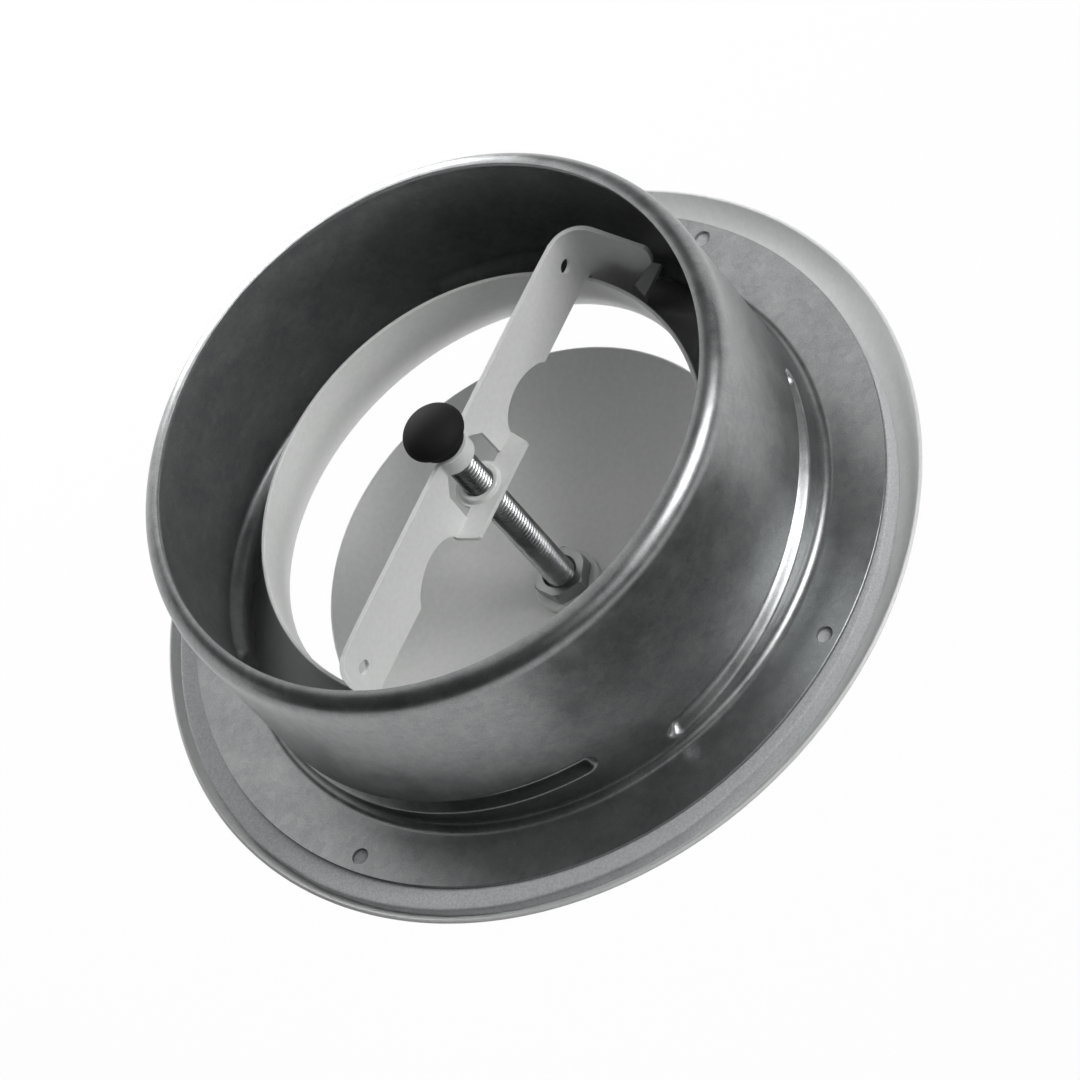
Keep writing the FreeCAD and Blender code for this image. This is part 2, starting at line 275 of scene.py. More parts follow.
def makeGalvanised():
    material, tree, shader, place = newMaterial("galvanisedSteelSkinPassed", Metallic=galvanised["metal"])
    cloud = addNode(tree, "ShaderNodeTexNoise", {
        "Vector": place, "Scale": 1 / (galvanised["cloud"] * mm), "Detail": 4.0, "Roughness": 0.6})
    spangle = addNode(tree, "ShaderNodeTexVoronoi", {
        "Vector": place, "Scale": 1 / (galvanised["spangle"] * mm), "Randomness": 1.0})
    spangleGrey = addNode(tree, "ShaderNodeSeparateColor", {"Color": spangle.outputs["Color"]})
    grain = addNode(tree, "ShaderNodeTexNoise", {
        "Vector": place, "Scale": 1 / (galvanised["grain"] * mm), "Detail": 2.0})
    soft = addNode(tree, "ShaderNodeMath", {
        0: cloud.outputs["Fac"], 1: galvanised["cloudShare"]}, operation="MULTIPLY")
    blend = addNode(tree, "ShaderNodeMath", {
        0: spangleGrey.outputs["Red"], 1: galvanised["spangleShare"],
        2: soft.outputs[0]}, operation="MULTIPLY_ADD")
    patch = addNode(tree, "ShaderNodeMath", {
        0: grain.outputs["Fac"], 1: galvanised["grainShare"], 2: blend.outputs[0]}, operation="MULTIPLY_ADD")
    colourBy(tree, shader, patch.outputs[0], galvanised["spread"], galvanised["dark"], galvanised["light"])
    roughenBy(tree, shader, cloud.outputs["Fac"], galvanised["cloudSpread"], galvanised["roughness"])
    bumpBy(tree, shader, grain.outputs["Fac"], galvanised["grainStrength"], galvanised["grainHeight"])
    return material


# Powder coat baked on pressed steel: an even satin white with a faint orange peel
powderCoat = {
    "colour": "#E6E7E6", "shade": "#E1E2E1", "spread": (0.35, 0.65), "roughness": 0.30,
    "peel": 1.1, "peelHeight": 0.005, "peelStrength": 0.3}


def makePowderCoat():
    material, tree, shader, place = newMaterial("whitePowderCoatBaked", Roughness=powderCoat["roughness"])
    peel = addNode(tree, "ShaderNodeTexNoise", {
        "Vector": place, "Scale": 1 / (powderCoat["peel"] * mm), "Detail": 2.0})
    colourBy(
        tree, shader, peel.outputs["Fac"], powderCoat["spread"], powderCoat["shade"], powderCoat["colour"])
    bumpBy(tree, shader, peel.outputs["Fac"], powderCoat["peelStrength"], powderCoat["peelHeight"])
    return material


# Polyethylene foam strip, cut: a dull grey with open cells
foam = {
    "dark": "#BCBEC0", "light": "#D0D2D3", "spread": (0.1, 0.75), "roughness": 0.9,
    "cell": 0.45, "cellHeight": 0.04, "cellStrength": 0.6}


def makeFoam():
    material, tree, shader, place = newMaterial("greyFoamCut", Roughness=foam["roughness"])
    cells = addNode(tree, "ShaderNodeTexVoronoi", {"Vector": place, "Scale": 1 / (foam["cell"] * mm)})
    colourBy(tree, shader, cells.outputs["Distance"], foam["spread"], foam["light"], foam["dark"])
    bumpBy(tree, shader, cells.outputs["Distance"], foam["cellStrength"], foam["cellHeight"], invert=True)
    return material


# Zinc-plated steel, rolled thread: a bright bluish grey metal, a little scuffed
zincPlate = {
    "dark": "#9C9E9F", "light": "#AFB1B0", "spread": (0.35, 0.65), "roughness": (0.28, 0.34),
    "scuff": 5.0, "scuffSpread": (0.3, 0.7)}


def makeZincPlate():
    material, tree, shader, place = newMaterial("zincPlatedSteelRolled", Metallic=1.0)
    scuff = addNode(tree, "ShaderNodeTexNoise", {
        "Vector": place, "Scale": 1 / (zincPlate["scuff"] * mm), "Detail": 3.0})
    colourBy(tree, shader, scuff.outputs["Fac"], zincPlate["spread"], zincPlate["dark"], zincPlate["light"])
    roughenBy(tree, shader, scuff.outputs["Fac"], zincPlate["scuffSpread"], zincPlate["roughness"])
    return material


# Polypropylene, moulded: a flat black with a very fine grain
blackPlastic = {
    "colour": "#080809", "shade": "#060607", "spread": (0.3, 0.7), "roughness": 0.8, "ior": 1.49,
    "grain": 0.3, "grainHeight": 0.01, "grainStrength": 0.15}


def makeBlackPlastic():
    material, tree, shader, place = newMaterial(
        "blackPolypropyleneMoulded", Roughness=blackPlastic["roughness"], IOR=blackPlastic["ior"])
    grain = addNode(tree, "ShaderNodeTexNoise", {"Vector": place, "Scale": 1 / (blackPlastic["grain"] * mm)})
    colourBy(
        tree, shader, grain.outputs["Fac"], blackPlastic["spread"], blackPlastic["shade"],
        blackPlastic["colour"])
    bumpBy(tree, shader, grain.outputs["Fac"], blackPlastic["grainStrength"], blackPlastic["grainHeight"])
    return material


galvanisedSteel = makeGalvanised()
whiteCoat = makePowderCoat()
greyFoam = makeFoam()
zincSteel = makeZincPlate()
blackCap = makeBlackPlastic()
print("materials made")


def finishPiece(piece, material, body, node):
    piece.data.materials.clear()
    piece.data.materials.append(material)
    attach(piece, body)
    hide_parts(node)


# Mounting collar, pressed from one sheet
collar = {
    "sheet": 0.8, "cutEdge": 0.07, "flangeRadius": topOf("mounting_collar", 0),
    "top": topOf("mounting_collar", 2) - 0.025, "wallRadius": 60.5, "flangeBend": 2.2, "lipBend": 4.2,
    "holeRadius": 1.7, "holeCircle": 70.0, "holeStart": -3.0, "holes": 4, "holeSides": 40, "drillDepth": 6.0,
    "beads": 4, "beadLowAngle": -32.0, "beadHighAngle": 45.0, "beadLow": 4.0, "beadHigh": 10.0,
    "beadDepth": 2.1, "beadHalfWidth": 2.6, "beadFlank": 0.8, "beadRun": 3.2, "beadPast": 0.5,
    "sharpAngle": 32.0}
# How finely the collar's section and its turns round the axis are divided, in rows, millimetres or degrees
collarGrid = {
    "flangeRows": 6, "bendRows": 8, "belowRows": 4, "band": 2.8, "bandRows": 13, "bendRoom": 0.8,
    "wallRows": 8, "lipRows": 10, "endZone": 3.5, "endStep": 0.28, "plainStep": 0.95}


def beadShare(angle):
    # how far round the pitch of the beads an angle in degrees lies, from the low end of its bead
    return (angle - collar["beadLowAngle"]) % (360.0 / collar["beads"])


def beadCentre(angle):
    span = collar["beadHighAngle"] - collar["beadLowAngle"]
    climb = collar["beadHigh"] - collar["beadLow"]
    share = beadShare(angle)
    if share <= span:
        return collar["beadLow"] + climb * share / span
    back = (share - span) / (360.0 / collar["beads"] - span)
    return collar["beadHigh"] - climb * (0.5 - 0.5 * math.cos(math.pi * back))


def beadDepthAt(angle, height):
    pitch = 360.0 / collar["beads"]
    span = collar["beadHighAngle"] - collar["beadLowAngle"]
    share = beadShare(angle)
    if share > (span + pitch) / 2:
        share -= pitch
    perDegree = math.radians(collar["wallRadius"])
    half = collar["beadHalfWidth"]
    fromEnd = min(share, span - share) * perDegree + collar["beadPast"]
    inside = max(0.0, collar["beadRun"] - fromEnd) / collar["beadRun"]
    centre = collar["beadLow"] + (collar["beadHigh"] - collar["beadLow"]) * min(max(share / span, 0.0), 1.0)
    away = math.hypot(inside, (height - centre) / half)
    if away >= 1.0:
        return 0.0
    slope = min(1.0, (1.0 - away) / collar["beadFlank"])
    return collar["beadDepth"] * slope * slope * (3 - 2 * slope)


def beadAngles():
    # finer steps where a bead starts or ends
    pitch = 360.0 / collar["beads"]
    span = collar["beadHighAngle"] - collar["beadLowAngle"]
    zone = collarGrid["endZone"]
    fine = collarGrid["endStep"]
    plain = collarGrid["plainStep"]
    stretches = [
        (-zone, zone, fine), (zone, span - zone, plain),
        (span - zone, span + zone, fine), (span + zone, pitch - zone, plain)]
    angles = []
    for bead in range(collar["beads"]):
        for first, last, step in stretches:
            count = max(1, round((last - first) / step))
            for index in range(count):
                angles.append(collar["beadLowAngle"] + pitch * bead + first + (last - first) * index / count)
    return angles


def collarMiddle(angle):
    # middle line of the sheet at an angle, with more rows where the bead lies
    half = collar["sheet"] / 2
    wall = collar["wallRadius"] - half
    bend = collar["flangeBend"]
    lip = collar["lipBend"]
    lipStart = collar["top"] - lip
    bendCentre = (collar["wallRadius"] + bend, bend)
    lipCentre = (collar["wallRadius"] - lip, lipStart)
    rim = half * endReach
    band = collarGrid["band"]
    rows = collarGrid["bandRows"]
    centre = beadCentre(angle)
    room = min(band, (centre - bend) * collarGrid["bendRoom"])
    middle = [(collar["flangeRadius"] - rim, -half)]
    middle += linePoints(middle[-1], (bendCentre[0], -half), collarGrid["flangeRows"])
    middle += arcPoints(bendCentre, bend + half, 270, 180, collarGrid["bendRows"])
    middle += linePoints(middle[-1], (wall, centre - room), collarGrid["belowRows"])
    middle += linePoints(middle[-1], (wall, centre), rows)
    middle += linePoints(middle[-1], (wall, centre + band), rows)
    middle += linePoints(middle[-1], (wall, lipStart), collarGrid["wallRows"])
    middle += arcPoints(lipCentre, lip - half, 0, 90, collarGrid["lipRows"])
    middle[-1] = (middle[-1][0] + rim, middle[-1][1])
    return middle


def makeCollar():
    angles = beadAngles()
    vertices = []
    for angle in angles:
        turn = math.radians(angle)
        profile = sheetLoop(collarMiddle(angle), collar["sheet"], collar["cutEdge"])
        for radius, height in profile:
            vertices.append(roundPoint(radius - beadDepthAt(angle, height), turn, height))
    shell = gridPiece("collarShell", vertices, len(angles))
    cleanMesh(shell, collar["sharpAngle"])
    for index in range(collar["holes"]):
        turn = math.radians(collar["holeStart"] + 360.0 / collar["holes"] * index)
        bpy.ops.mesh.primitive_cylinder_add(
            vertices=collar["holeSides"], radius=collar["holeRadius"] * mm,
            depth=collar["drillDepth"] * mm, location=roundPoint(collar["holeCircle"], turn, 0))
        drill = bpy.context.object
        cut = shell.modifiers.new("screwHole", "BOOLEAN")
        cut.object = drill
        cut.solver = "EXACT"
        bpy.context.view_layer.objects.active = shell
        bpy.ops.object.modifier_apply(modifier=cut.name)
        bpy.data.objects.remove(drill)
    shell.data.shade_smooth()
    shell.data.set_sharp_from_angle(angle=math.radians(collar["sharpAngle"]))
    finishPiece(shell, galvanisedSteel, "collar", "mounting_collar")


makeCollar()
print("mounting collar made")

# Face ring, spun to a trumpet
ring = {
    "sheet": 0.8, "radius": 80.0, "neckRadius": 46.5, "neckTop": topOf("bridge", 2) - 14.5,
    "neckStraight": 4.2, "flare": 25.0, "rimSlope": 58.0, "rimRoom": 1.2,
    "neckRows": 4, "flareRows": 36, "rimRows": 18, "segments": 480}


def ringCentres():
    # centres of the flare's arc and of the rim's arc, and the radius of the rim's back
    flareCentre = (ring["neckRadius"] + ring["flare"], ring["neckTop"] - ring["neckStraight"])
    trough = flareCentre[1] - ring["flare"]
    rimRadius = (ring["radius"] - flareCentre[0]) / math.sin(math.radians(ring["rimSlope"])) - ring["sheet"]
    return flareCentre, (flareCentre[0], trough + rimRadius), rimRadius


def makeRing():
    half = ring["sheet"] / 2
    flareCentre, rimCentre, rimRadius = ringCentres()
    neck = ring["neckRadius"] - half
    rimEnd = 270 + ring["rimSlope"] - ring["rimRoom"]
    middle = [(neck, ring["neckTop"] - half * endReach)]
    middle += linePoints(middle[-1], (neck, flareCentre[1]), ring["neckRows"])
    middle += arcPoints(flareCentre, ring["flare"] + half, 180, 270, ring["flareRows"])
    middle += arcPoints(rimCentre, rimRadius + half, 270, rimEnd, ring["rimRows"])
    shell = turnedPiece("faceRingShell", sheetLoop(middle, ring["sheet"]), ring["segments"])
    cleanMesh(shell)
    finishPiece(shell, whiteCoat, "valve_body", "face_ring")


makeRing()
print("face ring made")

# Foam gasket, laid by hand a little off centre behind the face; its outer edge wanders
gasket = {
    "inner": 62.8, "outer": 75.5, "shiftX": -2.5, "shiftY": 0.5, "top": topOf("foam_gasket", 2) + 0.24,
    "innerRound": 0.4, "outerRound": 0.5, "footInset": 0.8, "rows": 12, "lift": 0.02,
    "wander": 0.35, "wanderWaves": 3.0, "ripple": 0.6, "rippleWaves": 12.0, "wanderInset": 0.5,
    "wanderFrom": 70.0, "segments": 420, "sharpAngle": 50.0}
# Height that stands for the back of the ring in the gasket's section
onRing = -99.0


def backOfRing(radius):
    flareCentre, rimCentre, rimRadius = ringCentres()
    if radius <= flareCentre[0]:
        return flareCentre[1] - math.sqrt(ring["flare"] ** 2 - (flareCentre[0] - radius) ** 2)
    return rimCentre[1] - math.sqrt(rimRadius ** 2 - (radius - rimCentre[0]) ** 2)


def gasketSection():
    inner, outer, top = gasket["inner"], gasket["outer"], gasket["top"]
    innerRound, outerRound = gasket["innerRound"], gasket["outerRound"]
    profile = [(inner, top - innerRound)]
    profile += arcPoints((inner + innerRound, top - innerRound), innerRound, 180, 90, 3)
    profile += linePoints(profile[-1], (outer - outerRound, top), gasket["rows"])
    profile += arcPoints((outer - outerRound, top - outerRound), outerRound, 90, 0, 4)
    profile += [(outer, onRing)]
    profile += linePoints(profile[-1], (inner + gasket["footInset"], onRing), gasket["rows"])
    return profile


def makeGasket():
    profile = gasketSection()
    vertices = []
    segments = gasket["segments"]
    for segment in range(segments):
        angle = 2 * math.pi * segment / segments
        around = Vector((math.cos(angle), math.sin(angle), 0))
        drift = gasket["wander"] * (
            noise.noise(around * gasket["wanderWaves"])
            + gasket["ripple"] * noise.noise(around * gasket["rippleWaves"]) - gasket["wanderInset"])
        for radius, height in profile:
            reach = radius + (drift if radius > gasket["wanderFrom"] else 0)
            x = reach * math.cos(angle) + gasket["shiftX"]
            y = reach * math.sin(angle) + gasket["shiftY"]
            back = backOfRing(math.hypot(x, y)) + gasket["lift"]
            z = back if height == onRing else max(height, back + gasket["lift"])
            vertices.append((x * mm, y * mm, z * mm))
    piece = gridPiece("gasketRing", vertices, segments)
    cleanMesh(piece, gasket["sharpAngle"])
    finishPiece(piece, greyFoam, "valve_body", "foam_gasket")


makeGasket()
print("foam gasket made")

# Bridge, one strip on edge: cut flat, then bent round the spindle and at both ends
bridge = {
    "sheet": 1.0, "edge": 0.12, "top": topOf("bridge", 2), "middleY": -0.5, "threadRadius": 3.05,
    "bulge": 3.8, "bulgeTurn": 1.2, "bend": 6.0, "bendX": 44.6, "cutsPerBend": 24,
    "plateTop": 23.3, "foldHalf": 11.8, "windowHalf": 7.3, "sharpAngle": 20.0,
    "merge": 0.0005, "cutMerge": 0.0001, "joinMerge": 0.001}
# Middle of the strip: level top, band round the spindle, and a window, a waist and a hole at each side
strip = {
    "levelPlaces": (20.0, 38.0), "bandBottom": 34.2, "bandHalf": 4.4, "bandCorner": 0.6,
    "windowShoulder": 30.9, "windowLean": 0.2, "holeX": 44.2, "holeZ": 31.0, "hole": 1.5, "holeSides": 28,
    "waistSteps": 4,
    "waist": [
        (11.8, 23.4), (12.5, 25.0), (14.4, 26.8), (17.3, 27.85), (19.8, 27.9),
        (22.2, 27.3), (24.4, 26.2), (26.1, 24.9), (27.2, 23.4)]}
# Lug that runs along the beads, on the foot of each leg
lug = {
    "bottom": 8.6, "reach": topOf("bridge", 0), "start": -4.8, "end": 2.2, "inside": 49.6, "steps": 8}
# Leg at each end: heights at places inward from its end, at places along it, and at degrees round its bend
leg = {
    "end": bottomOf("bridge", 1), "drop": 0.2, "slope": 0.278, "slopeFrom": 0.1, "corner": 0.5, "bendStep": 6,
    "fromEnd": [(0.0, 32.3), (0.0, 31.4), (0.6, 28.9), (1.3, 27.5)],
    "under": [(-12.0, 22.7), (-8.0, 18.1), (-6.5, 16.4)],
    "foot": [
        (76.5, 14.8), (76.5, lug["bottom"]), (51.5, lug["bottom"]), (40.0, 11.0), (31.0, 13.7),
        (26.0, 16.5), (23.6, 19.3), (23.6, ring["neckTop"])]}
# Tab folded level at the foot of the strip, and its tongue with the tapped hole
tab = {
    "endHalf": 10.7, "end": -5.6, "corner": 0.4, "flare": 0.05, "tongue": 5.1, "tongueSteps": 20,
    "holeSides": 48}
# Raised lip round the tapped hole
threadLip = {
    "height": 0.9, "wall": 1.25, "innerRound": 0.35, "outerRound": 0.5, "foot": 0.4, "footSink": 0.02,
    "base": 0.3, "segments": 72}


def stripBends():
    # lengths along the strip, from its middle, where the bulge, the turn out of it and the leg's bend end
    bulge = bridge["bulge"]
    turn = bridge["bulgeTurn"]
    drop = turn - bridge["middleY"]
    side = math.sqrt((bulge + turn) ** 2 - drop ** 2)
    angle = math.pi / 2 - math.atan2(drop, side)
    turnEnd = bulge * angle + turn * angle
    bendStart = turnEnd + bridge["bendX"] - side
    return {
        "angle": angle, "side": side, "bulgeEnd": bulge * angle, "turnEnd": turnEnd,
        "bendStart": bendStart, "bendEnd": bendStart + bridge["bend"] * math.pi / 2}


bends = stripBends()


def placeOnPath(along, across):
    # a point of the flat strip, at a length along it and a distance off its middle, in the bent strip
    run = abs(along)
    if run < bends["bulgeEnd"]:
        turn = run / bridge["bulge"]
        reach = bridge["bulge"] - across
        x = reach * math.sin(turn)
        y = -reach * math.cos(turn)
    elif run < bends["turnEnd"]:
        turn = bends["angle"] - (run - bends["bulgeEnd"]) / bridge["bulgeTurn"]
        reach = bridge["bulgeTurn"] + across
        x = bends["side"] - reach * math.sin(turn)
        y = bridge["middleY"] - bridge["bulgeTurn"] + reach * math.cos(turn)
    elif run < bends["bendStart"]:
        x = bends["side"] + run - bends["turnEnd"]
        y = bridge["middleY"] + across
    elif run < bends["bendEnd"]:
        turn = (run - bends["bendStart"]) / bridge["bend"]
        reach = bridge["bend"] + across
        x = bridge["bendX"] + reach * math.sin(turn)
        y = bridge["middleY"] - bridge["bend"] + reach * math.cos(turn)
    else:
        x = bridge["bendX"] + bridge["bend"] + across
        y = bridge["middleY"] - bridge["bend"] - (run - bends["bendEnd"])
    return (x if along >= 0 else -x), y


def alongAtX(x):
    return bends["turnEnd"] + x - bends["side"]


def alongAtTurn(degrees):
    return bends["bendStart"] + bridge["bend"] * math.radians(degrees)


def alongAtY(y):
    return bends["bendEnd"] + bridge["middleY"] - bridge["bend"] - y


def smoothThrough(points, steps):
    # Catmull-Rom curve through a few points
    padded = [points[0]] + points + [points[-1]]
    curve = [points[0]]
    for index in range(1, len(padded) - 2):
        a, b, c, d = [Vector(padded[index + shift]) for shift in (-1, 0, 1, 2)]
        for step in range(1, steps + 1):
            t = step / steps
            spot = 0.5 * (
                2 * b + (c - a) * t + (2 * a - 5 * b + 4 * c - d) * t * t + (3 * b - a - 3 * c + d) * t ** 3)
            curve.append((spot.x, spot.y))
    return curve


def legTopAt(y):
    return bridge["top"] - leg["drop"] - leg["slope"] * (leg["slopeFrom"] - y)


def halfOutline():
    # the flat strip's right half: along its top, round the leg and its foot, and back below the waist
    top = bridge["top"]
    outline = [(0, top)] + [(alongAtX(x), top) for x in strip["levelPlaces"]]
    outline.append((alongAtX(bridge["bendX"]), top - leg["drop"]))
    for degrees in range(leg["bendStep"], 91, leg["bendStep"]):
        y = bridge["middleY"] - bridge["bend"] * (1 - math.cos(math.radians(degrees)))
        outline.append((alongAtTurn(degrees), legTopAt(y)))
    corner = leg["end"] + leg["corner"]
    outline.append((alongAtY(corner), legTopAt(corner)))
    outline += [(alongAtY(leg["end"] + inset), z) for inset, z in leg["fromEnd"]]
    outline += [(alongAtY(y), z) for y, z in leg["under"]]
    outline += [(alongAtTurn(degrees), z) for degrees, z in leg["foot"]]
    plateMiddle = bridge["plateTop"] - bridge["sheet"] / 2
    low = strip["bandBottom"]
    lower = smoothThrough(strip["waist"], strip["waistSteps"])[::-1]
    lower += [
        (bridge["foldHalf"], plateMiddle), (bridge["windowHalf"], plateMiddle),
        (bridge["windowHalf"] - strip["windowLean"], strip["windowShoulder"]),
        (strip["bandHalf"] + strip["bandCorner"], low - strip["bandCorner"]), (strip["bandHalf"], low)]
    outline += [(alongAtX(x), z) for x, z in lower]
    return outline + [(0, low)]


def circleLoop(centre, radius, steps):
    turns = [2 * math.pi * step / steps for step in range(steps)]
    return [(centre[0] + radius * math.cos(turn), centre[1] + radius * math.sin(turn)) for turn in turns]


def makeStrip():
    right = halfOutline()
    outline = right + mirrored(right[1:-1])[::-1]
    along = alongAtX(strip["holeX"])
    holes = [
        circleLoop((sign * along, strip["holeZ"]), strip["hole"], strip["holeSides"]) for sign in (1, -1)]
    mesh = flatBlank("bridgeStrip", outline, holes, bridge["sheet"], bridge["edge"])
    work = bmesh.new()
    work.from_mesh(mesh)
    bmesh.ops.remove_doubles(work, verts=work.verts, dist=bridge["merge"] * mm)
    count = bridge["cutsPerBend"]
    cuts = [bends["turnEnd"] * index / count for index in range(-count, count + 1)]
    for index in range(count + 1):
        spot = bends["bendStart"] + (bends["bendEnd"] - bends["bendStart"]) * index / count
        cuts += [spot, -spot]
    for spot in cuts:
        bmesh.ops.bisect_plane(
            work, geom=work.verts[:] + work.edges[:] + work.faces[:],
            plane_co=(spot * mm, 0, 0), plane_no=(1, 0, 0), dist=bridge["cutMerge"] * mm)
    for vertex in work.verts:
        x, y = placeOnPath(vertex.co.x / mm, -vertex.co.z / mm)
        vertex.co = Vector((x * mm, y * mm, vertex.co.y))
    work.to_mesh(mesh)
    work.free()
    return addPiece("bridgeStrip", mesh)


def levelPiece(name, outline, holes, middle):
    # a level sheet of the bridge, cut to an outline and lifted to the height of its middle
    mesh = flatBlank(name, outline, holes, bridge["sheet"], bridge["edge"])
    for vertex in mesh.vertices:
        vertex.co.z += middle * mm
    return addPiece(name, mesh)


def makePlate():
    middle = bridge["middleY"]
    back = middle + bridge["sheet"] / 2
    front = middle - bridge["sheet"] / 2
    fold = bridge["foldHalf"]
    window = bridge["windowHalf"]
    tongue = tab["tongue"]
    rear = [(fold, back), (window, back), (window, middle), (tongue, middle)]
    tip = [(tongue, 0)] + arcPoints((0, 0), tongue, 0, 180, tab["tongueSteps"])
    fore = [
        (fold, front), (tab["endHalf"] + tab["flare"], tab["end"] + tab["corner"]),
        (tab["endHalf"] - tab["corner"], tab["end"])]
    outline = rear + tip + mirrored(rear)[::-1] + mirrored(fore) + fore[::-1]
    hole = circleLoop((0, 0), bridge["threadRadius"], tab["holeSides"])
    return levelPiece("bridgePlate", outline, [hole], bridge["plateTop"] - bridge["sheet"] / 2)


def makeLip():
    inner = bridge["threadRadius"]
    outer = inner + threadLip["wall"]
    base = bridge["plateTop"] - threadLip["base"]
    top = bridge["plateTop"] + threadLip["height"]
    innerRound, outerRound, foot = threadLip["innerRound"], threadLip["outerRound"], threadLip["foot"]
    profile = [(inner, base), (inner, top - innerRound)]
    profile += arcPoints((inner + innerRound, top - innerRound), innerRound, 180, 90, 4)
    profile += arcPoints((outer - outerRound, top - outerRound), outerRound, 90, 0, 5)
    profile += arcPoints((outer + foot, bridge["plateTop"] + foot - threadLip["footSink"]), foot, 180, 270, 4)
    profile += [(outer + foot, base)]
    return turnedPiece("bridgeLip", profile, threadLip["segments"])


def makeLug(sign):
    outline = []
    for step in range(lug["steps"] + 1):
        y = lug["start"] + (lug["end"] - lug["start"]) * step / lug["steps"]
        outline.append((sign * math.sqrt(lug["reach"] ** 2 - y ** 2), y))
    outline += [(sign * lug["inside"], lug["end"]), (sign * lug["inside"], lug["start"])]
    return levelPiece("bridgeLug", outline, [], lug["bottom"] + bridge["sheet"] / 2)


def makeBridge():
    whole = joinPieces("bridgePressing", [makeStrip(), makePlate(), makeLip(), makeLug(1), makeLug(-1)])
    cleanMesh(whole, bridge["sharpAngle"], bridge["joinMerge"])
    finishPiece(whole, whiteCoat, "valve_body", "bridge")


makeBridge()
print("bridge made")

# Spindle, an M6 thread with a 1 mm pitch, right-handed; its form gives the depth at equal steps over a pitch
spindle = {
    "radius": topOf("spindle", 0), "pitch": 1.0, "depth": 0.6,
    "form": (0.0, 0.2, 0.6, 1.0, 1.0, 1.0, 0.6, 0.2), "bottom": bottomOf("spindle", 2),
    "top": topOf("spindle", 2), "around": 56, "runIn": 1.5, "chamfer": 0.8, "sharpAngle": 80.0}


def makeSpindle():
    # crests, flanks and roots follow the helix, so the mesh's rows run along it
    around = spindle["around"]
    perPitch = len(spindle["form"])
    turns = int((spindle["top"] - spindle["bottom"]) / spindle["pitch"]) + 2
    rows = turns * perPitch
    lowest = spindle["bottom"] - spindle["pitch"] * spindle["runIn"]
    vertices = []
    for segment in range(around + 1):
        angle = 2 * math.pi * segment / around
        for row in range(rows):
            height = lowest + spindle["pitch"] * (row / perPitch + segment / around)
            height = min(max(height, spindle["bottom"]), spindle["top"])
            radius = spindle["radius"] - spindle["depth"] * spindle["form"][row % perPitch]
            limit = spindle["radius"] - spindle["chamfer"] + (spindle["top"] - height)
            vertices.append(roundPoint(min(radius, limit), angle, height))
    rod = gridPiece("spindleThread", vertices, around + 1, False, False)
    cleanMesh(rod, spindle["sharpAngle"], fillHoles=True)
    finishPiece(rod, zincSteel, "disc_set", "spindle")


makeSpindle()
print("spindle made")

# Valve disc, dished round a flat land, with a rim band; the two blends are in degrees
disc = {
    "radius": topOf("valve_disc", 0), "rimHeight": topOf("valve_disc", 2), "band": 3.5, "bandDrop": 1.9,
    "centre": bottomOf("spindle", 2), "sheet": 1.0, "land": 7.4, "landInset": 0.6, "landBlend": 0.4,
    "bandBlend": 0.5, "edgeRoom": 0.08, "axisRoom": 0.6, "dishRows": 40, "bandRows": 6,
    "segments": 360, "sharpAngle": 30.0}


def makeDisc():
    half = disc["sheet"] / 2
    bandInner = disc["radius"] - disc["band"]
    rise = disc["rimHeight"] - disc["bandDrop"] - disc["centre"]
    middle = (bandInner ** 2 - disc["land"] ** 2 + rise ** 2) / (2 * rise)
    dish = math.hypot(disc["land"], middle)
    landAngle = 270 + math.degrees(math.asin(disc["land"] / dish)) + disc["landBlend"]
    bandAngle = 270 + math.degrees(math.asin(bandInner / dish)) - disc["bandBlend"]
    rim = (disc["radius"] - half * endReach - disc["edgeRoom"], disc["rimHeight"] - half)
    line = [(0.0, disc["centre"] - half), (disc["land"] - disc["landInset"], disc["centre"] - half)]
    line += arcPoints((0.0, disc["centre"] + middle), dish + half, landAngle, bandAngle, disc["dishRows"])
    line += linePoints(line[-1], rim, disc["bandRows"])
    piece = turnedPiece("discShell", sheetLoop(line, disc["sheet"]), disc["segments"])
    for vertex in piece.data.vertices:
        if math.hypot(vertex.co.x, vertex.co.y) < disc["axisRoom"] * mm:
            vertex.co.x = 0
            vertex.co.y = 0
    cleanMesh(piece, disc["sharpAngle"])
    finishPiece(piece, whiteCoat, "disc_set", "valve_disc")


makeDisc()
print("valve disc made")

# Boss under the lock nut
boss = {
    "radius": topOf("disc_boss", 0), "bottom": bottomOf("disc_boss", 2), "top": topOf("disc_boss", 2),
    "bore": 3.02, "edge": 0.35, "segments": 96}


def makeBoss():
    edge = boss["edge"]
    profile = [(boss["bore"], boss["bottom"]), (boss["bore"], boss["top"])]
    profile += linePoints(profile[-1], (boss["radius"] - edge, boss["top"]), 2)
    profile += arcPoints((boss["radius"] - edge, boss["top"] - edge), edge, 90, 0, 4)
    profile += [(boss["radius"], boss["bottom"])]
    piece = turnedPiece("bossRing", profile, boss["segments"])
    cleanMesh(piece)
    finishPiece(piece, whiteCoat, "disc_set", "disc_boss")


makeBoss()

# Lock nut, a thin hexagon with both faces chamfered
nut = {
    "flats": 10.0, "bottom": bottomOf("lock_nut", 2), "top": topOf("lock_nut", 2), "bore": 3.02,
    "chamfer": 0.5, "chamferPast": 0.1, "chamferDrop": 0.35, "chamferRows": 4, "countersink": 0.6,
    "turn": 20.0, "segments": 144, "sharpAngle": 24.0}


